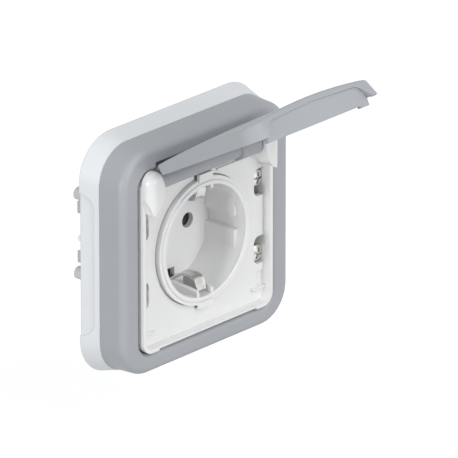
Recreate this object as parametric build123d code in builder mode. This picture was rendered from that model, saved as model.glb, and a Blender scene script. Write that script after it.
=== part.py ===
from build123d import *
import math
import os

# Outdoor weatherproof socket, wall-fixed, shown with its lid open
# The wall is the plane y = 0 and the front faces -Y; +Z is up and x = z = 0 is the socket's axis
# A depth is a distance in front of the wall, so it is -y; what lies in the wall box has a negative depth

# Pale back frame
frame_width = 87.2
frame_height = 85.8
frame_rise = 0.8
frame_corner = 15.0
frame_depth = 7.0
frame_lean = 2.1
frame_wall = 2.6
web_back = 1.5
web_thickness = 2.0
seal_offset = 5.0
seal_width = 2.0
seal_thickness = 1.2
recess_half_height = 25.4
recess_reach = 5.4
recess_corner = 5.2
recess_depth = 0.5

# Grey front bezel
bezel_step = 0.2
bezel_corner = 13.2
bezel_front = 17.2
bezel_draft = 3.5
bezel_wall = 2.4
bezel_round = 2.6
bezel_lip_wall = 2.0
bezel_lip_depth = 8.2
opening_clearance = 0.4
opening_round = 2.2
relief_radius = 7.4

# White mechanism plate
body_width = 63.8
body_corner = 4.6
body_wall = 1.5
plate_face = 14.9
plate_thickness = 2.0
rim_height = 3.1
bottom_setback = 0.7
bottom_setback_half = 24.0
bottom_setback_depth = 6.0

# Four windows, with the screws behind them
window_inner = 25.9
window_low = 7.3
window_high = 17.2
window_corner = 2.3
screw_x = 28.2
screw_z = 13.6
screw_shank = 1.5
screw_hole_clearance = 0.2
screw_head_radius = 2.8
screw_head_height = 2.2
screw_head_face = 12.6
screw_slot_width = 0.8
screw_slot_depth = 0.9
boss_radius = 4.0

# Small features on the plate
rib_z = -25.7
rib_inner = 24.2
rib_thickness = 0.8
rib_height = 1.1
strip_left = 7.0
strip_right = 17.0
strip_top = 23.5
strip_thickness = 0.7
strip_height = 0.8
pocket_inner = 27.3
pocket_low = -24.9
pocket_high = -20.0
pocket_depth = 0.5

# Ears that carry the lid
ear_inner = 24.8
ear_face = 21.7
ear_tip_x = 30.1
ear_tip_z = 18.6
ear_bend_z = 26.5
ear_side_low = 24.0
ear_side_high = 29.5
ear_top_radius = 3.95
ear_top_turn = 150.0
ear_overhang_gap = 0.2
ear_round = 3.1

# Round insert with the well
lip_face = 17.2
well_radius = 20.0
well_depth = 17.5
well_wall = 1.8
floor_thickness = 2.0
lip_inner = 19.7
lip_outer = 21.2
lip_step = 0.7
ring_radius = 22.5
ring_clearance = 0.3
flange_radius = 24.6
flange_thickness = 1.5
tab_half = 3.3
tab_top = 24.4
tab_bottom = 23.6
tab_face = 17.0
tab_thickness = 1.1
tab_root = 1.0
tab_clearance = 0.3
key_chord = 17.8
key_half_height = 9.3
key_groove_half = 2.6
key_front_gap = 4.0
pin_spacing = 19.0
pin_hole_radius = 2.7
slot_half = 2.9
slot_inner = 14.8
channel_wall = 1.1
channel_top = 18.0
channel_length = 13.6

# Earth clips, folded from one strip
strap_thickness = 0.8
strap_half_width = 2.3
strap_gap = 0.3
clip_root_z = 17.2
clip_slot_z = 18.1
clip_slot_depth = 1.2
clip_ramp_z = 14.1
clip_ramp_depth = 9.4
clip_crest_z = 13.4
clip_crest_depth = 12.2
clip_foot_z = 17.5
clip_foot_depth = 16.0
clip_bend = 1.1

# Support ring and the fixings to the wall box
ring_plate_width = 70.0
ring_plate_corner = 12.0
ring_plate_thickness = 1.0
box_screw_spacing = 60.0
box_slot_length = 7.0
box_slot_width = 3.8

# Housing behind the plate
housing_width = 48.0
housing_corner = 10.0
housing_fit = 0.3
housing_flange_height = 53.0
housing_flange_thickness = 2.0
chamber_block_height = 36.0
chamber_block_corner = 8.0
chamber_block_back = -18.1
chamber_wall = 1.5
chamber_half_height = 5.6
post_stand = 1.6
post_z = 14.3
post_radius = 2.2
post_back = -19.7
post_web = 2.0
cover_thickness = 1.7

# Contacts and terminals
leaf_thickness = 0.7
leaf_half_width = 2.5
leaf_mouth_z = 3.5
leaf_grip_z = 2.75
leaf_heel_z = 3.1
leaf_mouth_depth = 6.2
leaf_grip_depth = 9.0
leaf_heel_depth = 17.4
leaf_bend = 0.8
terminal_width = 6.4
terminal_height = 9.0
terminal_length = 8.0
terminal_depth = 9.0
terminal_gap = 0.6
contact_gap = 1.3
wire_hole_radius = 1.4
terminal_screw_radius = 1.3
terminal_screw_head = 2.1
terminal_screw_length = 5.0
terminal_screw_stand = 1.6
access_hole_radius = 2.4
earth_terminal_z = -12.4
earth_terminal_width = 7.0
earth_terminal_height = 6.4

# Spreading claws
claw_gap = 0.2
claw_sheet = 1.0
claw_half_height = 11.0
claw_prong_width = 4.2
claw_back = -20.4
claw_root = -9.0
claw_foot_depth = -12.0
claw_foot_length = 5.7
claw_foot_half = 4.0
claw_screw_reach = 3.9
claw_screw_radius = 1.2
claw_screw_head = 2.2
claw_screw_head_height = 1.4
claw_screw_tip = -16.0

# Lid, measured from its hinge axis: u runs down the lid, v stands off its face
lid_open_angle = 28.6
hinge_depth = 16.8
hinge_z = 28.0
barrel_radius = 2.6
knuckle_radius = 3.5
knuckle_start = 15.0
barrel_gap = 0.35
barrel_side_gap = 0.6
pin_radius = 1.25
pin_running_gap = 0.08
pin_reach = 4.2
lid_length = 60.0
lid_width = 64.0
lid_corner = 8.0
lid_edge = 1.85
lid_wall = 2.0
lid_lean = 21.0
lid_notch_start = 4.0
lid_notch_bend = 2.5
lid_notch_end = 12.5
lid_notch_lean = 28.0
lid_shell_height = 12.0
lid_round = 1.2
crown_stations = [0.0, 12.0, 34.0, 61.0]
crown_middle = [4.2, 6.6, 8.4, 10.1]
crown_side = [3.6, 5.7, 7.2, 7.3]
crown_half = 30.0
crown_spread = 1.4
arch_half = 25.0
arch_shoulder_x = 21.4
arch_shoulder_v = 6.7
arch_middle_v = 7.6
arch_round = 3.8
skirt_face = 57.4
skirt_thickness = 1.6
skirt_half = 24.6
skirt_edge = 0.05
skirt_top_side = 6.8
skirt_top_middle = 8.4
hook_inner = 20.5
hook_edge = -0.65
edge_seal_width = 0.9
edge_seal_height = 0.8
edge_seal_stand = 0.2
edge_seal_inset = 0.6
edge_seal_start = 14.5

# Sizes that follow from the ones above
frame_front_width = frame_width - 2 * frame_lean
frame_front_height = frame_height - 2 * frame_lean
bezel_width = frame_front_width - 2 * bezel_step
bezel_height = frame_front_height - 2 * bezel_step
opening_width = body_width + 2 * opening_clearance
bezel_band = min(bezel_width - opening_width, bezel_height - opening_width - 2 * frame_rise) / 2
ear_overhang_back = bezel_front + ear_overhang_gap
opening_corner = body_corner + opening_clearance
rim_face = plate_face + rim_height
plate_back = plate_face - plate_thickness
web_face = web_back + web_thickness
ring_face = web_face + ring_plate_thickness
body_inner = body_width / 2 - body_wall
well_floor = lip_face - well_depth
well_floor_back = well_floor - floor_thickness
well_outer = well_radius + well_wall
flange_face = plate_back - 0.1
flange_back = flange_face - flange_thickness
strap_front = well_floor_back - strap_gap
strap_middle = strap_front - strap_thickness / 2
strap_back = strap_front - strap_thickness
housing_floor = strap_back - strap_gap
chamber_front = housing_floor - chamber_wall
barrel_half = ear_inner - barrel_side_gap
web_hole_width = housing_width + 2 * housing_fit
pin_x = pin_spacing / 2
chamber_inner = pin_x - leaf_half_width - contact_gap
terminal_x = pin_x + leaf_half_width + contact_gap + terminal_width / 2
chamber_outer = terminal_x + terminal_width / 2 + terminal_gap
chamber_block_width = 2 * (chamber_outer + chamber_wall)
post_x = chamber_block_width / 2 + post_stand
claw_x = chamber_block_width / 2 + claw_gap + claw_sheet / 2
claw_foot_reach = claw_x + claw_foot_length
claw_screw_x = claw_x + claw_screw_reach
terminal_y = terminal_depth + terminal_length / 2
trough_radius = knuckle_radius + barrel_gap
back_radius = crown_middle[0] + barrel_gap
trough_low = hinge_z - trough_radius - body_wall
trough_back = hinge_depth - trough_radius - body_wall


def forward(depth):
    """The plane parallel to the wall at this depth in front of it, x to the right and y up."""
    return Plane.XZ.offset(depth)


def sideways(x):
    """The plane across the socket at this x, its x axis along +Y and its y axis along +Z."""
    return Plane(origin=(x, 0, 0), x_dir=(0, 1, 0), z_dir=(1, 0, 0))


os.makedirs("parts", exist_ok=True)


# Back frame: a leaning wall round a web that the support ring lies on
with BuildPart() as back_frame:
    with BuildSketch(forward(0)):
        with Locations((0, frame_rise)):
            RectangleRounded(frame_width, frame_height, frame_corner)
    with BuildSketch(forward(frame_depth)):
        with Locations((0, frame_rise)):
            RectangleRounded(frame_front_width, frame_front_height, frame_corner - frame_lean)
    loft()
    with BuildSketch(forward(web_face)):
        with Locations((0, frame_rise)):
            RectangleRounded(
                frame_front_width - 2 * frame_wall,
                frame_front_height - 2 * frame_wall,
                frame_corner - frame_lean - frame_wall,
            )
    extrude(amount=frame_depth - web_face, mode=Mode.SUBTRACT)
    with BuildSketch(forward(0)):
        RectangleRounded(web_hole_width, web_hole_width, housing_corner + housing_fit)
        with GridLocations(0, box_screw_spacing, 1, 2):
            SlotOverall(box_slot_length, box_slot_width, rotation=90)
    extrude(amount=web_face, mode=Mode.SUBTRACT)
    with BuildSketch(forward(0)):
        with GridLocations(2 * screw_x, 2 * screw_z, 2, 2):
            Circle(screw_shank + screw_hole_clearance)
        with Locations((-claw_screw_x, 0), (claw_screw_x, 0)):
            Circle(claw_screw_radius + screw_hole_clearance)
    extrude(amount=web_face, mode=Mode.SUBTRACT)
    with BuildSketch(forward(0)):
        seal_outer_width = frame_width - 2 * seal_offset
        seal_outer_height = frame_height - 2 * seal_offset
        seal_inner_width = seal_outer_width - 2 * seal_width
        seal_inner_height = seal_outer_height - 2 * seal_width
        seal_inner_corner = frame_corner - seal_offset - seal_width
        with Locations((0, frame_rise)):
            RectangleRounded(seal_outer_width, seal_outer_height, frame_corner - seal_offset)
            RectangleRounded(seal_inner_width, seal_inner_height, seal_inner_corner, mode=Mode.SUBTRACT)
    extrude(amount=seal_thickness, mode=Mode.SUBTRACT)
    for side in (-1, 1):
        side_face = Plane(
            origin=(side * frame_width / 2, 0, 0),
            x_dir=(0, 0, 1),
            z_dir=(side * frame_depth, -frame_lean, 0),
        )
        with BuildSketch(side_face):
            RectangleRounded(2 * recess_half_height, 2 * recess_reach, recess_corner)
        extrude(amount=-recess_depth, mode=Mode.SUBTRACT)
back_frame.part.label = "back_frame"
export_step(back_frame.part, "parts/back_frame.step")

# Wall seal in the groove at the back of the frame
with BuildPart() as wall_seal:
    with BuildSketch(forward(0)):
        with Locations((0, frame_rise)):
            RectangleRounded(seal_outer_width, seal_outer_height, frame_corner - seal_offset)
            RectangleRounded(seal_inner_width, seal_inner_height, seal_inner_corner, mode=Mode.SUBTRACT)
    extrude(amount=seal_thickness)
wall_seal.part.label = "wall_seal"
export_step(wall_seal.part, "parts/wall_seal.step")

# Support ring: a steel plate that carries the mechanism and takes the box screws
with BuildPart() as support_ring:
    with BuildSketch(forward(web_face)):
        RectangleRounded(ring_plate_width, ring_plate_width, ring_plate_corner)
        RectangleRounded(web_hole_width, web_hole_width, housing_corner + housing_fit, mode=Mode.SUBTRACT)
        with GridLocations(0, box_screw_spacing, 1, 2):
            SlotOverall(box_slot_length, box_slot_width, rotation=90, mode=Mode.SUBTRACT)
        with GridLocations(2 * screw_x, 2 * screw_z, 2, 2):
            Circle(screw_shank, mode=Mode.SUBTRACT)
        with Locations((-claw_screw_x, 0), (claw_screw_x, 0)):
            Circle(claw_screw_radius + screw_hole_clearance, mode=Mode.SUBTRACT)
    extrude(amount=ring_plate_thickness)
support_ring.part.label = "support_ring"
export_step(support_ring.part, "parts/support_ring.step")

# Front bezel: a softly rounded frame with a lip that runs back round the opening
with BuildPart() as front_bezel:
    with BuildSketch(forward(frame_depth)):
        with Locations((0, frame_rise)):
            RectangleRounded(bezel_width, bezel_height, bezel_corner)
    extrude(amount=bezel_front - frame_depth, taper=bezel_draft)
    fillet(front_bezel.faces().sort_by(Axis.Y)[0].edges(), min(bezel_round, 0.45 * bezel_band))
    with BuildSketch(forward(frame_depth)):
        with Locations((0, frame_rise)):
            RectangleRounded(
                bezel_width - 2 * bezel_wall,
                bezel_height - 2 * bezel_wall,
                bezel_corner - bezel_wall,
            )
    extrude(amount=bezel_front - bezel_wall - frame_depth, taper=2 * bezel_draft, mode=Mode.SUBTRACT)
    with BuildSketch(forward(bezel_front - bezel_lip_depth)):
        lip_width = opening_width + 2 * bezel_lip_wall
        RectangleRounded(lip_width, lip_width, opening_corner + bezel_lip_wall)
    extrude(amount=bezel_lip_depth - bezel_wall / 2)
    with BuildSketch(forward(frame_depth)):
        RectangleRounded(opening_width, opening_width, opening_corner)
    extrude(amount=bezel_front - frame_depth, mode=Mode.SUBTRACT)
    bezel_front_edges = front_bezel.edges().group_by(Axis.Y)[0]
    opening_edges = bezel_front_edges.filter_by_position(
        Axis.X, -opening_width / 2 - opening_clearance / 2, opening_width / 2 + opening_clearance / 2
    ).filter_by_position(
        Axis.Z, -opening_width / 2 - opening_clearance / 2, opening_width / 2 + opening_clearance / 2
    )
    fillet(opening_edges, min(opening_round, 0.35 * bezel_band))
    # Relief in the opening's top edge, where the back of the open lid passes
    with BuildSketch(sideways(-ear_inner)):
        with Locations((-hinge_depth, hinge_z)):
            Circle(relief_radius)
    extrude(amount=2 * ear_inner, mode=Mode.SUBTRACT)
front_bezel.part.label = "front_bezel"
export_step(front_bezel.part, "parts/front_bezel.step")

# Bezel seal: a soft sleeve between the support ring and the bezel's lip
with BuildPart() as bezel_seal:
    with BuildSketch(forward(ring_face)):
        RectangleRounded(lip_width, lip_width, opening_corner + bezel_lip_wall)
        bezel_seal_inner = body_width + opening_clearance / 2
        RectangleRounded(bezel_seal_inner, bezel_seal_inner, body_corner, mode=Mode.SUBTRACT)
    extrude(amount=bezel_front - bezel_lip_depth - ring_face)
bezel_seal.part.label = "bezel_seal"
export_step(bezel_seal.part, "parts/bezel_seal.step")

# Ears: a rounded blank cut to a leaf-shaped outline, then mirrored
with BuildPart() as ear_pair:
    with BuildSketch(forward(plate_back)):
        with BuildLine():
            ear_arc_x = body_width / 2 - ear_top_radius
            ear_arc_end = math.radians(ear_top_turn)
            ear_blank_end = (
                ear_arc_x + ear_top_radius * math.cos(ear_arc_end),
                ear_side_high + ear_top_radius * math.sin(ear_arc_end),
            )
            Line((body_width / 2, ear_tip_z - ear_round), (body_width / 2, ear_side_high))
            ThreePointArc(
                (body_width / 2, ear_side_high),
                (ear_arc_x, ear_side_high + ear_top_radius),
                ear_blank_end,
            )
            Polyline(
                ear_blank_end,
                (ear_blank_end[0], ear_tip_z - ear_round),
                (body_width / 2, ear_tip_z - ear_round),
            )
        make_face()
    extrude(amount=ear_face - plate_back)
    ear_front_edges = ear_pair.faces().sort_by(Axis.Y)[0].edges()
    fillet(ear_front_edges.sort_by(Axis.X)[-1:] + ear_front_edges.filter_by(GeomType.CIRCLE), ear_round)
    with BuildSketch(forward(plate_back)):
        with BuildLine():
            ear_limit = ear_side_high + 2 * ear_top_radius
            Line((ear_inner, ear_limit), (ear_inner, ear_bend_z))
            TangentArc((ear_inner, ear_bend_z), (ear_tip_x, ear_tip_z), tangent=(0, -1))
            Polyline(
                (ear_tip_x, ear_tip_z),
                (body_width / 2, ear_side_low),
                (body_width / 2 + ear_round, ear_side_low + ear_round),
                (body_width / 2 + ear_round, ear_limit),
                (ear_inner, ear_limit),
            )
        make_face()
    extrude(amount=ear_face - plate_back, mode=Mode.INTERSECT)
    with BuildSketch(forward(plate_back)):
        Rectangle(2 * body_width, 2 * body_width)
        RectangleRounded(body_width, body_width, body_corner, mode=Mode.SUBTRACT)
    extrude(amount=ear_overhang_back - plate_back, mode=Mode.SUBTRACT)
    mirror(about=Plane.YZ)

# Mechanism plate: body, rim, windows, ring hole, hinge trough and ears
with BuildPart() as mechanism_plate:
    with BuildSketch(forward(ring_face)):
        RectangleRounded(body_width, body_width, body_corner)
    extrude(amount=rim_face - ring_face)
    with BuildSketch(forward(plate_face)):
        RectangleRounded(2 * body_inner, 2 * body_inner, body_corner - body_wall)
    extrude(amount=rim_height, mode=Mode.SUBTRACT)
    with BuildSketch(forward(ring_face)):
        RectangleRounded(2 * body_inner, 2 * body_inner, body_corner - body_wall)
    extrude(amount=plate_back - ring_face, mode=Mode.SUBTRACT)
    # Screw bosses and the relief in the side walls round each screw head
    with BuildSketch(forward(ring_face)):
        with GridLocations(2 * screw_x, 2 * screw_z, 2, 2):
            Circle(boss_radius)
        Rectangle(2 * (body_inner + body_wall / 2), 4 * screw_z, mode=Mode.INTERSECT)
    extrude(amount=screw_head_face - screw_head_height - ring_face)
    with BuildSketch(forward(screw_head_face - screw_head_height)):
        with GridLocations(2 * screw_x, 2 * screw_z, 2, 2):
            Circle(screw_head_radius + screw_hole_clearance)
    extrude(amount=plate_back - screw_head_face + screw_head_height, mode=Mode.SUBTRACT)
    with BuildSketch(forward(ring_face)):
        with GridLocations(2 * screw_x, 2 * screw_z, 2, 2):
            Circle(screw_shank + screw_hole_clearance)
    extrude(amount=rim_face - ring_face, mode=Mode.SUBTRACT)
    # Windows, rounded on their inner side
    window_centre_z = (window_low + window_high) / 2
    with BuildSketch(forward(plate_back)):
        with GridLocations(2 * body_inner, 2 * window_centre_z, 2, 2):
            RectangleRounded(2 * (body_inner - window_inner), window_high - window_low, window_corner)
        Rectangle(2 * body_inner, body_width, mode=Mode.INTERSECT)
    extrude(amount=plate_thickness, mode=Mode.SUBTRACT)
    # Ears, flush with the sides, whose tops overhang the bezel
    add(ear_pair.part)
    # Hinge trough: a block between the ears, hollowed round the lid's barrel
    with BuildSketch(forward(trough_back)):
        with BuildLine():
            Polyline(
                (-ear_inner - body_wall, trough_low),
                (ear_inner + body_wall, trough_low),
                (ear_inner + body_wall, body_inner + body_wall / 2),
                (-ear_inner - body_wall, body_inner + body_wall / 2),
                close=True,
            )
        make_face()
    extrude(amount=plate_face - trough_back)
    with BuildSketch(sideways(-ear_inner)):
        with Locations((-hinge_depth, hinge_z)):
            Circle(trough_radius)
    extrude(amount=2 * ear_inner, mode=Mode.SUBTRACT)
    with BuildSketch(sideways(-ear_inner)):
        with Locations((-hinge_depth, hinge_z)):
            Circle(back_radius)
        with Locations((-hinge_depth - back_radius, hinge_z + back_radius / 2)):
            Rectangle(2 * back_radius, back_radius)
        with Locations((-hinge_depth, hinge_z - back_radius / 2)):
            Rectangle(2 * back_radius, back_radius, mode=Mode.SUBTRACT)
    extrude(amount=2 * ear_inner, mode=Mode.SUBTRACT)
    # Round hole for the insert, with a notch for each of its tabs
    with BuildSketch(forward(plate_back - body_wall)):
        Circle(ring_radius + ring_clearance)
        with Locations((0, (tab_top + tab_clearance) / 2)):
            Rectangle(2 * (tab_half + tab_clearance), tab_top + tab_clearance)
        with Locations((0, -(tab_bottom + tab_clearance) / 2)):
            Rectangle(2 * (tab_half + tab_clearance), tab_bottom + tab_clearance)
    extrude(amount=plate_thickness + body_wall, mode=Mode.SUBTRACT)
    # Pin bores in the ears
    with BuildSketch(sideways(-ear_inner - pin_reach)):
        with Locations((-hinge_depth, hinge_z)):
            Circle(pin_radius)
    extrude(amount=2 * (ear_inner + pin_reach), mode=Mode.SUBTRACT)
    # Bottom wall set back between its corners
    with BuildSketch(forward(rim_face - bottom_setback_depth)):
        with Locations((0, -body_width / 2)):
            Rectangle(2 * bottom_setback_half, 2 * bottom_setback)
    extrude(amount=bottom_setback_depth, mode=Mode.SUBTRACT)
    # Ribs, strip and shallow pockets on the plate
    with BuildSketch(forward(plate_face)):
        with Locations((-(rib_inner + body_inner) / 2, rib_z), ((rib_inner + body_inner) / 2, rib_z)):
            Rectangle(body_inner - rib_inner, rib_thickness)
    extrude(amount=rib_height)
    with BuildSketch(forward(plate_face)):
        with Locations(((strip_left + strip_right) / 2, strip_top - strip_thickness / 2)):
            Rectangle(strip_right - strip_left, strip_thickness)
    extrude(amount=strip_height)
    with BuildSketch(forward(plate_face - pocket_depth)):
        pocket_x = (pocket_inner + body_inner) / 2
        with Locations((-pocket_x, (pocket_low + pocket_high) / 2), (pocket_x, (pocket_low + pocket_high) / 2)):
            Rectangle(body_inner - pocket_inner, pocket_high - pocket_low)
    extrude(amount=pocket_depth, mode=Mode.SUBTRACT)
mechanism_plate.part.label = "mechanism_plate"
export_step(mechanism_plate.part, "parts/mechanism_plate.step")

# Round insert: lip, well, keys, clip channels and tabs
with BuildPart() as socket_insert:
    with BuildSketch(Plane.XY):
        with BuildLine():
            Polyline(
                (0, -well_floor_back),
                (well_outer, -well_floor_back),
                (well_outer, -flange_back),
                (flange_radius, -flange_back),
                (flange_radius, -flange_face),
                (ring_radius, -flange_face),
                (ring_radius, -lip_face + lip_step),
                (lip_outer, -lip_face + lip_step),
                (lip_outer, -lip_face),
                (lip_inner, -lip_face),
                (lip_inner, -lip_face + lip_step),
                (well_radius, -lip_face + 2 * lip_step),
                (well_radius, -well_floor),
                (0, -well_floor),
                close=True,
            )
        make_face()
    revolve(axis=Axis.Y)
    lip_edges = socket_insert.faces().sort_by(Axis.Y)[0].edges()
    fillet(lip_edges, lip_step / 2)
    with BuildSketch(forward(flange_back)):
        with Locations((0, trough_low - housing_fit + flange_radius / 2)):
            Rectangle(2 * flange_radius, flange_radius)
    extrude(amount=flange_thickness, mode=Mode.SUBTRACT)
    # Key blocks with their grooves
    with BuildSketch(forward(well_floor)):
        Circle(well_radius + well_wall / 2)
        Rectangle(2 * well_outer, 2 * key_half_height, mode=Mode.INTERSECT)
        Rectangle(2 * key_chord, 2 * well_outer, mode=Mode.SUBTRACT)
        Rectangle(2 * well_outer, 2 * key_groove_half, mode=Mode.SUBTRACT)
    extrude(amount=well_depth - key_front_gap)
    # Channel walls beside each earth clip
    with BuildSketch(forward(lip_face - channel_length)):
        Circle(well_radius + well_wall / 2)
        Rectangle(2 * (slot_half + channel_wall), 2 * well_outer, mode=Mode.INTERSECT)
        Rectangle(2 * slot_half, 2 * well_outer, mode=Mode.SUBTRACT)
        Rectangle(2 * well_outer, 2 * channel_top, mode=Mode.SUBTRACT)
    extrude(amount=channel_length - lip_step)
    # Slots in the floor for the clips, and the two pin holes
    with BuildSketch(forward(well_floor_back)):
        clip_slot_middle = (slot_inner + well_radius) / 2
        with Locations((0, clip_slot_middle), (0, -clip_slot_middle)):
            Rectangle(2 * slot_half, well_radius - slot_inner)
        with Locations((-pin_x, 0), (pin_x, 0)):
            Circle(pin_hole_radius)
    extrude(amount=floor_thickness, mode=Mode.SUBTRACT)
    # Tabs that stand over the plate's notches
    with BuildSketch(forward(tab_face - tab_thickness)):
        tab_base = ring_radius - tab_root
        with Locations((0, (tab_base + tab_top) / 2)):
            Rectangle(2 * tab_half, tab_top - tab_base)
        with Locations((0, -(tab_base + tab_bottom) / 2)):
            Rectangle(2 * tab_half, tab_bottom - tab_base)
    extrude(amount=tab_thickness)
socket_insert.part.label = "socket_insert"
export_step(socket_insert.part, "parts/socket_insert.step")

# Earth clips: one strip behind the floor, folded forward at both ends
with BuildPart() as earth_clips:
    with BuildSketch(Plane.YZ) as strap_section:
        with BuildLine():
            FilletPolyline(
                (clip_foot_depth * -1, clip_foot_z),
                (-clip_crest_depth, clip_crest_z),
                (-clip_ramp_depth, clip_ramp_z),
                (-clip_slot_depth, clip_slot_z),
                (-strap_middle, clip_root_z),
                (-strap_middle, -clip_root_z),
                (-clip_slot_depth, -clip_slot_z),
                (-clip_ramp_depth, -clip_ramp_z),
                (-clip_crest_depth, -clip_crest_z),
                (clip_foot_depth * -1, -clip_foot_z),
                radius=clip_bend,
            )
        trace(line_width=strap_thickness)
    extrude(amount=strap_half_width, both=True)
earth_clips.part.label = "earth_clips"
export_step(earth_clips.part, "parts/earth_clips.step")

# Plate screws: four slotted cheese-head screws that clamp the plate to the support ring
with BuildPart() as plate_screws:
    with BuildSketch(forward(web_back)):
        with GridLocations(2 * screw_x, 2 * screw_z, 2, 2):
            Circle(screw_shank)
    extrude(amount=screw_head_face - screw_head_height - web_back)
    with BuildSketch(forward(screw_head_face - screw_head_height)):
        with GridLocations(2 * screw_x, 2 * screw_z, 2, 2):
            Circle(screw_head_radius)
    extrude(amount=screw_head_height)
    fillet(plate_screws.faces().group_by(Axis.Y)[0].edges(), screw_head_height / 4)
    with BuildSketch(forward(screw_head_face)):
        with GridLocations(2 * screw_x, 2 * screw_z, 2, 2):
            Rectangle(2 * screw_head_radius, screw_slot_width)
            Rectangle(screw_slot_width, 2 * screw_slot_width + screw_head_radius)
    extrude(amount=-screw_slot_depth, mode=Mode.SUBTRACT)
plate_screws.part.label = "plate_screws"
export_step(plate_screws.part, "parts/plate_screws.step")

# Rear housing: a cup round the well, with a block of contact chambers behind it
with BuildPart() as rear_housing:
    with BuildSketch(forward(chamber_front)):
        RectangleRounded(housing_width, housing_width, housing_corner)
    extrude(amount=flange_back - chamber_front)
    with BuildSketch(forward(ring_face)):
        RectangleRounded(housing_width, housing_flange_height, housing_corner)
    extrude(amount=housing_flange_thickness)
    with BuildSketch(forward(chamber_block_back)):
        RectangleRounded(chamber_block_width, chamber_block_height, chamber_block_corner)
    extrude(amount=chamber_front - chamber_block_back)
    with BuildSketch(forward(post_back)):
        with GridLocations(2 * post_x, 2 * post_z, 2, 2):
            Circle(post_radius)
    extrude(amount=chamber_front - post_back)
    with BuildSketch(forward(chamber_block_back)):
        with GridLocations(chamber_block_width, 2 * post_z, 2, 2):
            Rectangle(2 * post_stand, post_web)
    extrude(amount=chamber_front - chamber_block_back)
    with BuildSketch(forward(trough_back - housing_fit)):
        with Locations((0, trough_low - housing_fit + housing_width / 2)):
            Rectangle(2 * housing_width, housing_width)
    extrude(amount=flange_back - trough_back + housing_fit, mode=Mode.SUBTRACT)
    with BuildSketch(forward(housing_floor)):
        Circle(well_outer + housing_fit)
    extrude(amount=flange_back - housing_floor, mode=Mode.SUBTRACT)
    # Holes for the pins, the window for the earth terminal, and the three chambers
    with BuildSketch(forward(chamber_front)):
        with Locations((-pin_x, 0), (pin_x, 0)):
            Circle(pin_hole_radius + housing_fit)
    extrude(amount=chamber_wall, mode=Mode.SUBTRACT)
    with BuildSketch(forward(chamber_block_back)):
        chamber_middle = (chamber_inner + chamber_outer) / 2
        with Locations((-chamber_middle, 0), (chamber_middle, 0)):
            Rectangle(chamber_outer - chamber_inner, 2 * chamber_half_height)
    extrude(amount=chamber_front - chamber_block_back, mode=Mode.SUBTRACT)
    with BuildSketch(forward(chamber_block_back)):
        with Locations((0, earth_terminal_z)):
            Rectangle(earth_terminal_width + 2 * housing_fit, earth_terminal_height + 2 * housing_fit)
    extrude(amount=housing_floor - chamber_block_back, mode=Mode.SUBTRACT)
    # Screwdriver holes to the terminal screws
    with BuildSketch(Plane.XY.offset(chamber_half_height)):
        with Locations((-terminal_x, terminal_y), (terminal_x, terminal_y)):
            Circle(access_hole_radius)
    extrude(amount=chamber_block_height / 2, mode=Mode.SUBTRACT)
    with BuildSketch(Plane.XY.offset(earth_terminal_z)):
        with Locations((0, terminal_y)):
            Circle(access_hole_radius)
    extrude(amount=-chamber_block_height / 2, mode=Mode.SUBTRACT)
rear_housing.part.label = "rear_housing"
export_step(rear_housing.part, "parts/rear_housing.step")

# Rear cover over the chambers, with a wire entry behind each terminal
with BuildPart() as rear_cover:
    with BuildSketch(forward(chamber_block_back - cover_thickness)):
        RectangleRounded(chamber_block_width, chamber_block_height, chamber_block_corner)
        with Locations((-terminal_x, 0), (terminal_x, 0), (0, earth_terminal_z)):
            Circle(access_hole_radius, mode=Mode.SUBTRACT)
        with GridLocations(2 * post_x, 2 * post_z, 2, 2):
            Circle(post_radius + housing_fit, mode=Mode.SUBTRACT)
    extrude(amount=cover_thickness)
rear_cover.part.label = "rear_cover"
export_step(rear_cover.part, "parts/rear_cover.step")

# Live and neutral contacts: a folded pair of leaves round each pin, with a tail to its terminal
contact_parts = {}
for contact_name, side in (("live_contact", -1), ("neutral_contact", 1)):
    with BuildPart() as contact:
        with BuildSketch(sideways(side * pin_x)):
            with BuildLine():
                FilletPolyline(
                    (leaf_mouth_depth, leaf_mouth_z),
                    (leaf_grip_depth, leaf_grip_z),
                    (leaf_heel_depth, leaf_heel_z),
                    (leaf_heel_depth, -leaf_heel_z),
                    (leaf_grip_depth, -leaf_grip_z),
                    (leaf_mouth_depth, -leaf_mouth_z),
                    radius=leaf_bend,
                )
            trace(line_width=leaf_thickness)
        extrude(amount=leaf_half_width, both=True)
        with BuildSketch(forward(-leaf_heel_depth - leaf_thickness / 2)):
            tail_reach = terminal_x - pin_x
            with Locations((side * (pin_x + tail_reach / 2), 0)):
                Rectangle(tail_reach, 2 * leaf_half_width)
        extrude(amount=leaf_thickness)
    contact.part.label = contact_name
    export_step(contact.part, f"parts/{contact_name}.step")
    contact_parts[contact_name] = contact.part

# Live and neutral terminals: brass blocks in front of the contact tails
for terminal_name, side in (("live_terminal", -1), ("neutral_terminal", 1)):
    with BuildPart() as terminal:
        with BuildSketch(forward(-terminal_depth - terminal_length + leaf_thickness / 2)):
            with Locations((side * terminal_x, 0)):
                Rectangle(terminal_width, terminal_height)
        extrude(amount=terminal_length - leaf_thickness / 2)
        with BuildSketch(forward(-terminal_depth - terminal_length)):
            with Locations((side * terminal_x, 0)):
                Circle(wire_hole_radius)
        extrude(amount=terminal_length, mode=Mode.SUBTRACT)
        with BuildSketch(Plane.XY):
            with Locations((side * terminal_x, terminal_y)):
                Circle(terminal_screw_radius)
        extrude(amount=terminal_height, mode=Mode.SUBTRACT)
    terminal.part.label = terminal_name
    export_step(terminal.part, f"parts/{terminal_name}.step")

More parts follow.
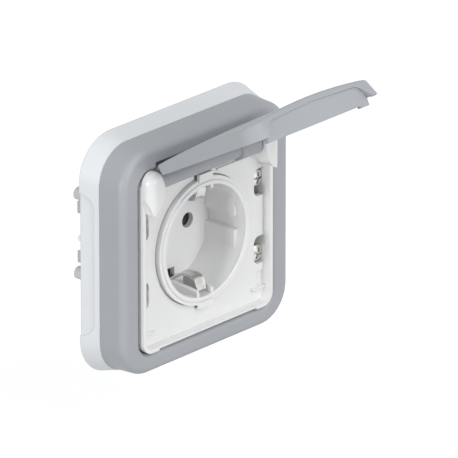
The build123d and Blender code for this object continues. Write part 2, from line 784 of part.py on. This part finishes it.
# Earth terminal: a brass block that stands on the back of the strap
with BuildPart() as earth_terminal:
    with BuildSketch(forward(strap_back)):
        with Locations((0, earth_terminal_z)):
            Rectangle(earth_terminal_width, earth_terminal_height)
    extrude(amount=-(terminal_depth + terminal_length + strap_back))
    with BuildSketch(forward(-terminal_depth - terminal_length)):
        with Locations((0, earth_terminal_z)):
            Circle(wire_hole_radius)
    extrude(amount=terminal_length, mode=Mode.SUBTRACT)
    with BuildSketch(Plane.XY.offset(earth_terminal_z)):
        with Locations((0, terminal_y)):
            Circle(terminal_screw_radius)
    extrude(amount=-earth_terminal_height, mode=Mode.SUBTRACT)
earth_terminal.part.label = "earth_terminal"
export_step(earth_terminal.part, "parts/earth_terminal.step")

# Terminal screws: one above each live block, one below the earth block
with BuildPart() as terminal_screws:
    for x, surface, away in (
        (-terminal_x, terminal_height / 2, 1),
        (terminal_x, terminal_height / 2, 1),
        (0, earth_terminal_z - earth_terminal_height / 2, -1),
    ):
        with BuildSketch(Plane.XY.offset(surface + away * terminal_screw_stand)):
            with Locations((x, terminal_y)):
                Circle(terminal_screw_radius)
        extrude(amount=-away * terminal_screw_length)
        with BuildSketch(Plane.XY.offset(surface)):
            with Locations((x, terminal_y)):
                Circle(terminal_screw_head)
                Rectangle(2 * terminal_screw_head, screw_slot_width, mode=Mode.SUBTRACT)
        extrude(amount=away * terminal_screw_stand)
terminal_screws.part.label = "terminal_screws"
export_step(terminal_screws.part, "parts/terminal_screws.step")

# Spreading claws: a folded sheet with two prongs and a threaded foot on each side
for claw_name, side in (("left_claw", -1), ("right_claw", 1)):
    with BuildPart() as claw:
        with BuildSketch(sideways(side * claw_x)):
            with Locations(((-claw_root - claw_foot_depth) / 2, 0)):
                Rectangle(claw_root - claw_foot_depth, 2 * claw_half_height)
            prong_middle = claw_half_height - claw_prong_width / 2
            with Locations(((-claw_root - claw_back) / 2, prong_middle), ((-claw_root - claw_back) / 2, -prong_middle)):
                Rectangle(claw_root - claw_back, claw_prong_width)
        extrude(amount=claw_sheet / 2, both=True)
        with BuildSketch(forward(claw_foot_depth)):
            with Locations((side * (claw_x + claw_foot_reach) / 2, 0)):
                Rectangle(claw_foot_reach - claw_x, 2 * claw_foot_half)
            with Locations((side * claw_screw_x, 0)):
                Circle(claw_screw_radius, mode=Mode.SUBTRACT)
        extrude(amount=claw_sheet)
    claw.part.label = claw_name
    export_step(claw.part, f"parts/{claw_name}.step")

# Claw screws: two long screws from the support ring into the claws' feet
with BuildPart() as claw_screws:
    with BuildSketch(forward(claw_screw_tip)):
        with Locations((-claw_screw_x, 0), (claw_screw_x, 0)):
            Circle(claw_screw_radius)
    extrude(amount=ring_face - claw_screw_tip)
    with BuildSketch(forward(ring_face)):
        with Locations((-claw_screw_x, 0), (claw_screw_x, 0)):
            Circle(claw_screw_head)
    extrude(amount=claw_screw_head_height)
    with BuildSketch(forward(ring_face + claw_screw_head_height)):
        with Locations((-claw_screw_x, 0), (claw_screw_x, 0)):
            Rectangle(2 * claw_screw_head, screw_slot_width)
    extrude(amount=-claw_screw_head_height / 2, mode=Mode.SUBTRACT)
claw_screws.part.label = "claw_screws"
export_step(claw_screws.part, "parts/claw_screws.step")

# Lid planes: one across the lid at a distance u from the hinge, one along its face at a height v
lid_cos = math.cos(math.radians(lid_open_angle))
lid_sin = math.sin(math.radians(lid_open_angle))


def across_lid(u):
    """The plane across the lid at this distance from the hinge axis, x to the right and y off its face."""
    return Plane(
        origin=(0, -hinge_depth - u * lid_cos, hinge_z + u * lid_sin),
        x_dir=(1, 0, 0),
        z_dir=(0, -lid_cos, lid_sin),
    )


def along_lid(v):
    """The plane along the lid's face at this height, x to the right and y towards the hinge."""
    return Plane(
        origin=(0, -hinge_depth + v * lid_sin, hinge_z + v * lid_cos),
        x_dir=(1, 0, 0),
        z_dir=(0, lid_sin, lid_cos),
    )


def lid_outline(inset, height=0):
    """Half of the lid's outline at a height above its edge, y towards the hinge, pulled in by the inset."""
    flare = height * math.tan(math.radians(lid_lean))
    half = lid_width / 2 - inset - flare
    end = lid_length - inset - flare
    corner = lid_corner - inset - flare
    neck = barrel_half - inset
    shoulder = lid_notch_end + inset - height * math.tan(math.radians(lid_notch_lean))
    Line((0, -end), (half - corner, -end))
    TangentArc((half - corner, -end), (half, -end + corner), tangent=(1, 0))
    Line((half, -end + corner), (half, -shoulder))
    TangentArc((neck, -lid_notch_bend), (half, -shoulder), tangent=(0, -1))
    Line((neck, -lid_notch_bend), (neck, lid_notch_start))
    Line((neck, lid_notch_start), (0, lid_notch_start))
    Line((0, lid_notch_start), (0, -end))


def lid_blank(inset, drop):
    """The lid's outer form with its walls pulled in by the inset and its crowned face lowered by the drop."""
    with BuildPart() as crown:
        for u, middle, side in zip(crown_stations, crown_middle, crown_side):
            with BuildSketch(across_lid(u)):
                with BuildLine():
                    edge = crown_spread * crown_half
                    top = middle - drop
                    low = top - (middle - side) * crown_spread**2
                    ThreePointArc((-edge, low), (0, top), (edge, low))
                    Polyline((edge, low), (edge, -barrel_radius), (-edge, -barrel_radius), (-edge, low))
                make_face()
        loft()
    with BuildPart() as blank:
        for height in (0, lid_shell_height):
            with BuildSketch(along_lid(lid_edge + height)):
                with BuildLine():
                    lid_outline(inset, height)
                make_face()
        loft(ruled=True)
        mirror(about=Plane.YZ)
        add(crown.part, mode=Mode.INTERSECT)
    return blank.part


lid_outer = lid_blank(0, 0)
lid_inner = lid_blank(lid_wall, lid_wall)

# Lid: crowned shell, barrel, finger cut-out, inner skirt, latch hook and seal groove
with BuildPart() as lid_cavity:
    add(lid_inner)
    with BuildSketch(sideways(-lid_width / 2)):
        with Locations((-hinge_depth, hinge_z)):
            Circle(barrel_radius)
    extrude(amount=lid_width, mode=Mode.SUBTRACT)

with BuildPart() as lid:
    add(lid_outer)
    crown_face = lid.faces().filter_by(GeomType.BSPLINE).sort_by(SortBy.AREA)[-1]
    rim_edges = crown_face.edges().filter_by(
        lambda edge: across_lid(lid_notch_end).to_local_coords(edge.center()).Z > 0
    )
    fillet(rim_edges, lid_round)
    add(lid_cavity.part, mode=Mode.SUBTRACT)
    with BuildSketch(sideways(-barrel_half)):
        with Locations((-hinge_depth, hinge_z)):
            Circle(barrel_radius)
    extrude(amount=2 * barrel_half)
    with BuildSketch(sideways(knuckle_start)):
        with Locations((-hinge_depth, hinge_z)):
            Circle(knuckle_radius)
    extrude(amount=barrel_half - knuckle_start)
    with BuildSketch(across_lid(lid_length - 2 * lid_wall)):
        with BuildLine():
            FilletPolyline(
                (-arch_half, -barrel_radius),
                (-arch_half, lid_edge),
                (-arch_shoulder_x, arch_shoulder_v),
                (0, arch_middle_v),
                (arch_shoulder_x, arch_shoulder_v),
                (arch_half, lid_edge),
                (arch_half, -barrel_radius),
                radius=arch_round,
            )
            Line((arch_half, -barrel_radius), (-arch_half, -barrel_radius))
        make_face()
    extrude(amount=3 * lid_wall, mode=Mode.SUBTRACT)
    with BuildSketch(across_lid(skirt_face)):
        with BuildLine():
            Polyline(
                (-skirt_half, skirt_top_side),
                (-skirt_half, skirt_edge),
                (hook_inner, skirt_edge),
                (hook_inner, hook_edge),
                (skirt_half, hook_edge),
                (skirt_half, skirt_top_side),
            )
            ThreePointArc((skirt_half, skirt_top_side), (0, skirt_top_middle), (-skirt_half, skirt_top_side))
        make_face()
    extrude(amount=-skirt_thickness)
    with BuildSketch(sideways(-barrel_half)):
        with Locations((-hinge_depth, hinge_z)):
            Circle(pin_radius + pin_running_gap)
    extrude(amount=2 * barrel_half, mode=Mode.SUBTRACT)
    with BuildSketch(along_lid(lid_edge)):
        with BuildLine():
            lid_outline((lid_wall - edge_seal_width) / 2)
        make_face()
        with BuildLine():
            lid_outline((lid_wall + edge_seal_width) / 2)
        make_face(mode=Mode.SUBTRACT)
        seal_limit_z = -(edge_seal_start + lid_length) / 2
        with Locations(((arch_half + edge_seal_inset + lid_width / 2) / 2, seal_limit_z)):
            Rectangle(
                lid_width / 2 - arch_half - edge_seal_inset,
                lid_length - edge_seal_start,
                mode=Mode.INTERSECT,
            )
        mirror(about=Plane.YZ)
    extrude(amount=edge_seal_height, mode=Mode.SUBTRACT)
lid.part.label = "lid"
export_step(lid.part, "parts/lid.step")

# Lid seal: a soft strip in the groove of each side's lower edge
with BuildPart() as lid_seal:
    with BuildSketch(along_lid(lid_edge - edge_seal_stand)):
        with BuildLine():
            lid_outline((lid_wall - edge_seal_width) / 2)
        make_face()
        with BuildLine():
            lid_outline((lid_wall + edge_seal_width) / 2)
        make_face(mode=Mode.SUBTRACT)
        with Locations(((arch_half + edge_seal_inset + lid_width / 2) / 2, seal_limit_z)):
            Rectangle(
                lid_width / 2 - arch_half - edge_seal_inset,
                lid_length - edge_seal_start,
                mode=Mode.INTERSECT,
            )
        mirror(about=Plane.YZ)
    extrude(amount=edge_seal_stand + edge_seal_height)
lid_seal.part.label = "lid_seal"
export_step(lid_seal.part, "parts/lid_seal.step")

# Hinge pin, held in the ears
with BuildPart() as hinge_pin:
    with BuildSketch(sideways(-ear_inner - pin_reach)):
        with Locations((-hinge_depth, hinge_z)):
            Circle(pin_radius)
    extrude(amount=2 * (ear_inner + pin_reach))
hinge_pin.part.label = "hinge_pin"
export_step(hinge_pin.part, "parts/hinge_pin.step")
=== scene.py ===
import math

import bmesh
import bpy
from mathutils import Matrix, Vector


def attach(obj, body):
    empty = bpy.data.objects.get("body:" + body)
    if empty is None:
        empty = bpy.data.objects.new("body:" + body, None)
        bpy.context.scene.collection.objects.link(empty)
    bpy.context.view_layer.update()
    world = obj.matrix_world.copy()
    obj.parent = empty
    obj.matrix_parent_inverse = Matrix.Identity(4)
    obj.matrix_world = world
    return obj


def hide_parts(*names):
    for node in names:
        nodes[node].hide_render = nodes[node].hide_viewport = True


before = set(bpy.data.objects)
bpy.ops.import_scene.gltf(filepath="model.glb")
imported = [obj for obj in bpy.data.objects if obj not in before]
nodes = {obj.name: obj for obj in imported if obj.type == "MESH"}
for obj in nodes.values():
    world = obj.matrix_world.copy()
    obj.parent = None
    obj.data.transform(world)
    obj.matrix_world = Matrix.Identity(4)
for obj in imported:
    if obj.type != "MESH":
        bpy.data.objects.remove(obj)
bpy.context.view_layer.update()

MM_PER_M = 1000.0
WHITE = (1.0, 1.0, 1.0)
BLACK = (0.0, 0.0, 0.0)


# Materials

EDGE_SAMPLES = 6
COAT_ROUGHNESS = 0.12
# Noise scales, in cells to the metre.
DRIFT, SHEEN, FLOW = 28.0, 420.0, 60.0
DRAWN, PATCHES = 900.0, 160.0
RUBBER_GRAIN, RUBBER_CLOUD = 2400.0, 90.0
# Sockets of a colour mix node, which has several of the same name.
MIX_FACTOR, MIX_A, MIX_B, MIX_RESULT = 0, 6, 7, 2


def new_material(name):
    mat = bpy.data.materials.new(name)
    mat.use_nodes = True
    nt = mat.node_tree
    nt.nodes.clear()
    out = nt.nodes.new("ShaderNodeOutputMaterial")
    bsdf = nt.nodes.new("ShaderNodeBsdfPrincipled")
    nt.links.new(bsdf.outputs["BSDF"], out.inputs["Surface"])
    return mat, nt, bsdf


def coordinates(nt, scale=(1.0, 1.0, 1.0)):
    """Object coordinates, so that a pattern keeps its place when the piece moves."""
    coord = nt.nodes.new("ShaderNodeTexCoord")
    mapping = nt.nodes.new("ShaderNodeMapping")
    mapping.inputs["Scale"].default_value = scale
    nt.links.new(coord.outputs["Object"], mapping.inputs["Vector"])
    return mapping.outputs["Vector"]


def noise(nt, vector, scale, detail=3.0, rough=0.55):
    node = nt.nodes.new("ShaderNodeTexNoise")
    node.inputs["Scale"].default_value = scale
    node.inputs["Detail"].default_value = detail
    node.inputs["Roughness"].default_value = rough
    nt.links.new(vector, node.inputs["Vector"])
    return node.outputs["Fac"]


def ramp(nt, source, stops):
    """Colours along the source's value, from a list of positions and colours."""
    node = nt.nodes.new("ShaderNodeValToRGB")
    els = node.color_ramp.elements
    els[0].position, els[0].color = stops[0][0], (*stops[0][1], 1.0)
    els[1].position, els[1].color = stops[-1][0], (*stops[-1][1], 1.0)
    for pos, col in stops[1:-1]:
        el = els.new(pos)
        el.color = (*col, 1.0)
    nt.links.new(source, node.inputs["Fac"])
    return node.outputs["Color"]


def span(nt, source, low, high):
    """The source's 0 to 1, spread from low to high."""
    node = nt.nodes.new("ShaderNodeMapRange")
    node.inputs["To Min"].default_value = low
    node.inputs["To Max"].default_value = high
    nt.links.new(source, node.inputs["Value"])
    return node.outputs["Result"]


def bump(nt, height, distance, strength=1.0, previous=None):
    node = nt.nodes.new("ShaderNodeBump")
    node.inputs["Strength"].default_value = strength
    node.inputs["Distance"].default_value = distance
    nt.links.new(height, node.inputs["Height"])
    if previous is not None:
        nt.links.new(previous, node.inputs["Normal"])
    return node.outputs["Normal"]


def shade(colour, factor):
    return tuple(min(1.0, c * factor) for c in colour)


def soft_edge(nt, radius):
    """The small rounding that a moulded or pressed edge has, so that it catches the light."""
    if radius is None:
        return None
    node = nt.nodes.new("ShaderNodeBevel")
    node.samples = EDGE_SAMPLES
    node.inputs["Radius"].default_value = radius
    return node.outputs["Normal"]


def drift(nt, cloud, colour, vary):
    """The colour, drifting slowly darker and lighter over the piece."""
    dark, light = shade(colour, 1.0 - vary), shade(colour, 1.0 + vary)
    return ramp(nt, cloud, [(0.3, dark), (0.5, colour), (0.72, light)])


def painted_shade_near_axis(nt, inner, outer):
    """The inner colour near the socket's axis and the outer one away from it. Metres. The
    dark inner colour is painted shade, standing for the dark inside the pin holes.
    """
    reach, change_from, change_to = 0.05, 0.018, 0.022
    away = nt.nodes.new("ShaderNodeTexGradient")
    away.gradient_type = "SPHERICAL"
    nt.links.new(coordinates(nt, (1.0 / reach, 0.0, 1.0 / reach)), away.inputs["Vector"])
    near = ramp(nt, away.outputs["Fac"], [
        (1.0 - change_to / reach, BLACK),
        (1.0 - change_from / reach, WHITE),
    ])
    both = nt.nodes.new("ShaderNodeMix")
    both.data_type = "RGBA"
    nt.links.new(near, both.inputs[MIX_FACTOR])
    nt.links.new(outer, both.inputs[MIX_A])
    nt.links.new(inner, both.inputs[MIX_B])
    return both.outputs[MIX_RESULT]


def plastic(
    name, colour, rough, vary=0.03, grain=1600.0, depth=0.00002, wave=0.00002,
    spec=0.45, coat=0.0, edge=0.00035, outer=None,
):
    """Moulded plastic: slow colour drift, eroded grain, a little flow waviness, soft edges.

    The grain's depth, the wave's height and the edge's radius are in metres. With an outer
    colour, the piece turns to it at about 20 mm from the socket's axis; the colour within is
    painted shade for the pin holes.
    """
    mat, nt, bsdf = new_material(name)
    vec = coordinates(nt)
    cloud = noise(nt, vec, DRIFT)
    fine = noise(nt, vec, grain, detail=2.0, rough=0.6)
    tint = drift(nt, cloud, colour, vary)
    if outer:
        tint = painted_shade_near_axis(nt, tint, drift(nt, cloud, outer, vary))
    nt.links.new(tint, bsdf.inputs["Base Color"])
    nt.links.new(span(nt, noise(nt, vec, SHEEN), *rough), bsdf.inputs["Roughness"])
    flow = bump(nt, noise(nt, vec, FLOW, detail=1.0), wave, 0.35, soft_edge(nt, edge))
    nt.links.new(bump(nt, fine, depth, 0.5, flow), bsdf.inputs["Normal"])
    bsdf.inputs["Specular IOR Level"].default_value = spec
    bsdf.inputs["Coat Weight"].default_value = coat
    bsdf.inputs["Coat Roughness"].default_value = COAT_ROUGHNESS
    return mat


def metal(name, colour, rough=(0.22, 0.34), stretch=(1.0, 1.0, 1.0), edge=None):
    """Plated sheet metal with a faint drawn grain and small dull patches."""
    mat, nt, bsdf = new_material(name)
    depth = 0.00001
    grain = noise(nt, coordinates(nt, stretch), DRAWN, detail=4.0, rough=0.65)
    patch = noise(nt, coordinates(nt), PATCHES)
    tones = [(0.3, shade(colour, 0.9)), (0.55, colour), (0.75, shade(colour, 1.05))]
    nt.links.new(ramp(nt, patch, tones), bsdf.inputs["Base Color"])
    nt.links.new(span(nt, grain, *rough), bsdf.inputs["Roughness"])
    nt.links.new(bump(nt, grain, depth, 0.4, soft_edge(nt, edge)), bsdf.inputs["Normal"])
    bsdf.inputs["Metallic"].default_value = 1.0
    return mat


def rubber(name, colour):
    """Matt rubber with a fine, even grain."""
    depth, rough = 0.00003, (0.62, 0.8)
    mat, nt, bsdf = new_material(name)
    vec = coordinates(nt)
    fine = noise(nt, vec, RUBBER_GRAIN)
    tones = [(0.3, shade(colour, 0.9)), (0.7, shade(colour, 1.1))]
    nt.links.new(ramp(nt, noise(nt, vec, RUBBER_CLOUD), tones), bsdf.inputs["Base Color"])
    nt.links.new(span(nt, fine, *rough), bsdf.inputs["Roughness"])
    nt.links.new(bump(nt, fine, depth, 0.4), bsdf.inputs["Normal"])
    return mat


mid_grey = (0.385, 0.40, 0.427)
polished = {"vary": 0.008, "grain": 900.0, "depth": 0.000003, "wave": 0.000008, "spec": 0.5}
coarse = {"vary": 0.04, "grain": 1200.0, "depth": 0.00003}
# Drawn grain, finer through the part's depth or across its width.
fine_in_depth = (1.0, 6.0, 1.0)
fine_in_width = (8.0, 1.0, 1.0)

pale_plastic = plastic("pale_plastic", (0.745, 0.765, 0.79), (0.42, 0.54), vary=0.015)
grey_plastic = plastic("grey_plastic", mid_grey, (0.4, 0.52), vary=0.025)
lid_plastic = plastic("lid_plastic", mid_grey, (0.38, 0.5), vary=0.025)
# The plate and the insert are one white plastic: the plate's white is set a little darker as
# painted shade on the recessed plate, and the insert's a little lighter as painted light on
# its bright lips.
white_plastic = plastic(
    "white_plastic", (0.825, 0.825, 0.825), (0.2, 0.26), coat=0.5, **polished,
)
# No soft edge here: it shows as blotches on the insert's many small facets.
well_plastic = plastic(
    "well_plastic", (0.85, 0.85, 0.85), (0.26, 0.32), edge=None, **polished,
)
dark_plastic = plastic("dark_plastic", (0.30, 0.31, 0.32), (0.45, 0.6), **coarse)
# The dark colour within about 20 mm of the axis is painted shade for the pin holes; the pale
# outer colour is the housing's own.
housing_plastic = plastic(
    "housing_plastic", (0.26, 0.27, 0.28), (0.45, 0.6), outer=(0.60, 0.61, 0.62), **coarse,
)
seal_rubber = rubber("seal_rubber", (0.11, 0.11, 0.115))
lid_rubber = rubber("lid_rubber", (0.30, 0.305, 0.315))
steel = metal("steel", (0.78, 0.77, 0.74), stretch=fine_in_depth)
clip_steel = metal("clip_steel", (0.64, 0.635, 0.62), (0.2, 0.3), fine_in_width, edge=0.00025)
# A darker copy of the steel: painted shade on the claws, which face away from the light.
claw_steel_painted_shade = metal("claw_steel_painted_shade", (0.42, 0.42, 0.425), (0.34, 0.46), fine_in_depth)
brass = metal("brass", (0.80, 0.60, 0.28))

finish = {
    "back_frame": pale_plastic,
    "wall_seal": seal_rubber,
    "support_ring": steel,
    "front_bezel": grey_plastic,
    "bezel_seal": seal_rubber,
    "mechanism_plate": white_plastic,
    "socket_insert": well_plastic,
    "earth_clips": clip_steel,
    "plate_screws": steel,
    "rear_housing": housing_plastic,
    "rear_cover": dark_plastic,
    "live_contact": brass,
    "neutral_contact": brass,
    "live_terminal": brass,
    "neutral_terminal": brass,
    "earth_terminal": brass,
    "terminal_screws": steel,
    "left_claw": claw_steel_painted_shade,
    "right_claw": claw_steel_painted_shade,
    "claw_screws": steel,
    "hinge_pin": steel,
    "lid": lid_plastic,
    "lid_seal": lid_rubber,
}
for name, mat in finish.items():
    ob = nodes[name]
    ob.data.materials.clear()
    ob.data.materials.append(mat)


# Pieces, drawn in millimetres: d is the distance from the wall, z the height over the axis.

SHARP_ANGLE = math.radians(35.0)


def add_piece(name, bm, mat, body="housing"):
    bmesh.ops.recalc_face_normals(bm, faces=bm.faces)
    mesh = bpy.data.meshes.new(name)
    bm.to_mesh(mesh)
    bm.free()
    mesh.transform(Matrix.Scale(1.0 / MM_PER_M, 4))
    for face in mesh.polygons:
        face.use_smooth = True
    mesh.set_sharp_from_angle(angle=SHARP_ANGLE)
    mesh.materials.append(mat)
    ob = bpy.data.objects.new(name, mesh)
    bpy.context.scene.collection.objects.link(ob)
    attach(ob, body)
    return ob


def rounded(points, times=3):
    """Corner cutting that keeps the two ends where they are."""
    for _ in range(times):
        cut = [points[0]]
        for a, b in zip(points, points[1:]):
            cut.append((0.75 * a[0] + 0.25 * b[0], 0.75 * a[1] + 0.25 * b[1]))
            cut.append((0.25 * a[0] + 0.75 * b[0], 0.25 * a[1] + 0.75 * b[1]))
        cut.append(points[-1])
        points = cut
    return points


def tube(bm, rows):
    """Sides between rows of points that close on themselves, and a face over each end."""
    for a, b in zip(rows, rows[1:]):
        count = len(a)
        for k in range(count):
            bm.faces.new((a[k], a[(k + 1) % count], b[(k + 1) % count], b[k]))
    bm.faces.new(rows[0])
    bm.faces.new(rows[-1])


def clip_strip():
    """The folded earth strip: both sprung arches, with the raised borders that stiffen it."""
    arch = [
        (14.6, 18.4), (13.9, 14.6), (11.4, 13.7), (6.4, 13.9),
        (3.8, 16.2), (1.2, 18.1), (-3.0, 18.0), (-3.0, 16.0),
    ]
    line = rounded(arch + [(d, -z) for d, z in reversed(arch)])
    half_width = 2.3
    # How far in from the strip's edge, and how high over its middle surface.
    border = [(0.0, -0.4), (0.0, 0.28), (0.12, 0.4), (0.42, 0.4), (0.7, 0.08)]
    section = [(-half_width + inset, n) for inset, n in border]
    section += [(half_width - inset, n) for inset, n in reversed(border)]
    bm = bmesh.new()
    rows = []
    for i, (d, z) in enumerate(line):
        before, after = line[max(i - 1, 0)], line[min(i + 1, len(line) - 1)]
        along = Vector((after[0] - before[0], after[1] - before[1])).normalized()
        rows.append([
            bm.verts.new((x, -(d - n * along.y), z + n * along.x)) for x, n in section
        ])
    tube(bm, rows)
    return bm


def channel_ribs():
    """Sloped tops of the four guide walls beside the earth clips."""
    near, far = 2.92, 3.98
    wall_z, rise = 18.3, 0.5
    side = [
        (3.8, wall_z), (3.8, 16.7), (4.6, 16.4), (15.8, 17.2), (16.4, 17.6), (16.4, wall_z),
    ]
    rounding, flat_angle = 0.16, 0.3
    bm = bmesh.new()
    for sx in (-1, 1):
        for sz in (-1, 1):
            tube(bm, [
                [bm.verts.new((sx * near, -d, sz * z)) for d, z in side],
                [bm.verts.new((sx * far, -d, sz * min(wall_z, z + rise))) for d, z in side],
            ])
    corners = [
        e for e in bm.edges
        if len(e.link_faces) == 2 and e.calc_face_angle(0.0) > flat_angle
    ]
    bmesh.ops.bevel(bm, geom=corners, offset=rounding, segments=2, affect="EDGES")
    return bm


def screw_crowns():
    """Domed, cross-slotted tops of the plate screws, cut flat where the windows hide them."""
    screw_x, screw_z = 28.2, 13.6
    # How far the slots of the lower and the upper screws are turned, in radians.
    slot_turns = ((-1, 0.35), (1, 0.1))
    window_from, window_to = 26.0, 30.3
    # The crown falls by `dome` from its middle, and a rounding of `rim` ends it.
    radius, top, foot, dome, rim = 3.0, 14.6, 12.3, 0.55, 0.5
    slot_reach, slot_half, slot_depth, slot_slope = 2.0, 0.42, 1.1, 5.0
    rings, spokes = 34, 132

    def height(r, u, v):
        level = top - dome * (r / radius) ** 2
        if r > radius - rim:
            level -= rim * (1.0 - math.sqrt(max(0.0, 1.0 - ((r - radius + rim) / rim) ** 2)))
        arm, across = max(abs(u), abs(v)), min(abs(u), abs(v))
        if arm < slot_reach and across < slot_half:
            level -= min(slot_depth, slot_slope * (slot_reach - arm))
        return level

    def crown(sx, sz, turn):
        bm = bmesh.new()

        def point(r, angle):
            u, v = r * math.cos(angle + turn * sx), r * math.sin(angle + turn * sx)
            return bm.verts.new((
                screw_x * sx + r * math.cos(angle),
                -height(r, u, v),
                screw_z * sz + r * math.sin(angle),
            ))

        middle = point(0.0, 0.0)
        rows = [
            [point(radius * (k + 1) / rings, 2 * math.pi * j / spokes) for j in range(spokes)]
            for k in range(rings)
        ]
        rows.append([bm.verts.new((v.co.x, -foot, v.co.z)) for v in rows[-1]])
        for j in range(spokes):
            bm.faces.new((middle, rows[0][j], rows[0][(j + 1) % spokes]))
        for a, b in zip(rows, rows[1:]):
            for j in range(spokes):
                bm.faces.new((a[j], b[j], b[(j + 1) % spokes], a[(j + 1) % spokes]))
        bm.faces.new(rows[-1])
        for edge, way in ((window_from, -1), (window_to, 1)):
            bmesh.ops.bisect_plane(
                bm, geom=bm.verts[:] + bm.edges[:] + bm.faces[:],
                plane_co=(edge * sx, 0.0, 0.0), plane_no=(way * sx, 0.0, 0.0),
                clear_outer=True,
            )
            bmesh.ops.holes_fill(bm, edges=[e for e in bm.edges if e.is_boundary], sides=0)
        return bm

    whole = bmesh.new()
    for sx in (-1, 1):
        for sz, turn in slot_turns:
            bm = crown(sx, sz, turn)
            part = bpy.data.meshes.new("crown")
            bm.to_mesh(part)
            bm.free()
            whole.from_mesh(part)
            bpy.data.meshes.remove(part)
    return whole


clips = add_piece("clip_springs", clip_strip(), clip_steel)
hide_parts("earth_clips")
add_piece("channel_ribs", channel_ribs(), well_plastic)
add_piece("plate_screw_crowns", screw_crowns(), steel)


# Surroundings: white to the eye, and plain where they only light the part.

FLOOR_Z = -0.075
FLOOR_HALF = 3.0
FLOOR_GLOW = 0.7
AMBIENT = 0.53


def split_by_ray(nt, output, unseen, seen):
    """Camera, glossy and transmission rays meet one shader, and all others the unseen one."""
    path = nt.nodes.new("ShaderNodeLightPath")
    looked_at = path.outputs["Is Camera Ray"]
    for kind in ("Is Glossy Ray", "Is Transmission Ray"):
        larger = nt.nodes.new("ShaderNodeMath")
        larger.operation = "MAXIMUM"
        nt.links.new(looked_at, larger.inputs[0])
        nt.links.new(path.outputs[kind], larger.inputs[1])
        looked_at = larger.outputs[0]
    choose = nt.nodes.new("ShaderNodeMixShader")
    nt.links.new(looked_at, choose.inputs["Fac"])
    nt.links.new(unseen.outputs[0], choose.inputs[1])
    nt.links.new(seen.outputs[0], choose.inputs[2])
    nt.links.new(choose.outputs[0], nt.nodes.new(output).inputs["Surface"])


def coloured(nt, kind, colour, strength=None):
    node = nt.nodes.new(kind)
    node.inputs["Color"].default_value = (*colour, 1.0)
    if strength is not None:
        node.inputs["Strength"].default_value = strength
    return node


floor_mesh = bpy.data.meshes.new("floor")
floor_mesh.from_pydata(
    [
        (sx * FLOOR_HALF, sy * FLOOR_HALF, FLOOR_Z)
        for sx, sy in ((-1, -1), (1, -1), (1, 1), (-1, 1))
    ],
    [],
    [(0, 1, 2, 3)],
)
floor = bpy.data.objects.new("floor", floor_mesh)
bpy.context.scene.collection.objects.link(floor)
floor_mat = bpy.data.materials.new("floor")
floor_mat.use_nodes = True
nt = floor_mat.node_tree
nt.nodes.clear()
glowing = nt.nodes.new("ShaderNodeAddShader")
lit = coloured(nt, "ShaderNodeBsdfDiffuse", (0.5, 0.5, 0.5))
glow = coloured(nt, "ShaderNodeEmission", WHITE, FLOOR_GLOW)
nt.links.new(lit.outputs[0], glowing.inputs[0])
nt.links.new(glow.outputs[0], glowing.inputs[1])
plain = coloured(nt, "ShaderNodeBsdfDiffuse", (0.55, 0.55, 0.55))
split_by_ray(nt, "ShaderNodeOutputMaterial", plain, glowing)
floor_mesh.materials.append(floor_mat)

scene = bpy.context.scene
world = bpy.data.worlds.new("studio")
scene.world = world
world.use_nodes = True
nt = world.node_tree
nt.nodes.clear()
ambient = coloured(nt, "ShaderNodeBackground", (0.98, 0.99, 1.0), AMBIENT)
backdrop = coloured(nt, "ShaderNodeBackground", WHITE, 1.0)
split_by_ray(nt, "ShaderNodeOutputWorld", ambient, backdrop)


# Lamps

LAMP_DISTANCE = 1.1
LAMP_AIM = Vector((0.0, -0.02, 0.0))


def area(name, direction, size, level):
    """A square soft box whose light alone would show a surface facing it at this level."""
    data = bpy.data.lights.new(name, "AREA")
    data.shape = "SQUARE"
    data.size = size
    data.energy = level * math.pi**2 * LAMP_DISTANCE**2
    ob = bpy.data.objects.new(name, data)
    away = Vector(direction).normalized()
    ob.location = LAMP_AIM + away * LAMP_DISTANCE
    ob.rotation_mode = "QUATERNION"
    ob.rotation_quaternion = away.to_track_quat("Z", "Y")
    scene.collection.objects.link(ob)


area("front_high", (0.0, -1.0, 1.0), size=0.6, level=0.34)
area("front_low", (0.06, -1.0, 0.2), size=0.6, level=0.24)
area("side", (-1.0, -0.1, 0.11), size=0.25, level=0.37)


# Camera: the photograph is a parallel view, so the lens is very long and far away.

azimuth = math.radians(-47.5)
elevation = math.radians(22.1)
px_per_m = 3.0 * MM_PER_M
frame_px = 458
# This point of the part falls on this pixel of the photograph.
anchor = Vector((0.0, -0.0172, 0.0))
anchor_px = (206.8, 241.1)

back = Vector((
    math.sin(azimuth) * math.cos(elevation),
    -math.cos(azimuth) * math.cos(elevation),
    math.sin(elevation),
))
right = Vector((math.cos(azimuth), math.sin(azimuth), 0.0))
up = back.cross(right)
aim = (
    anchor
    + right * ((frame_px / 2 - anchor_px[0]) / px_per_m)
    + up * ((anchor_px[1] - frame_px / 2) / px_per_m)
)
cam_data = bpy.data.cameras.new("camera")
cam_data.sensor_width = 36.0
cam_data.lens = 700.0
cam_data.clip_start = 0.01
cam_data.clip_end = 50.0
distance = cam_data.lens / cam_data.sensor_width * (frame_px / px_per_m)
cam = bpy.data.objects.new("camera", cam_data)
cam.rotation_mode = "QUATERNION"
cam.rotation_quaternion = back.to_track_quat("Z", "Y")
cam.location = aim + back * distance
scene.collection.objects.link(cam)
scene.camera = cam

scene.view_settings.view_transform = "Standard"
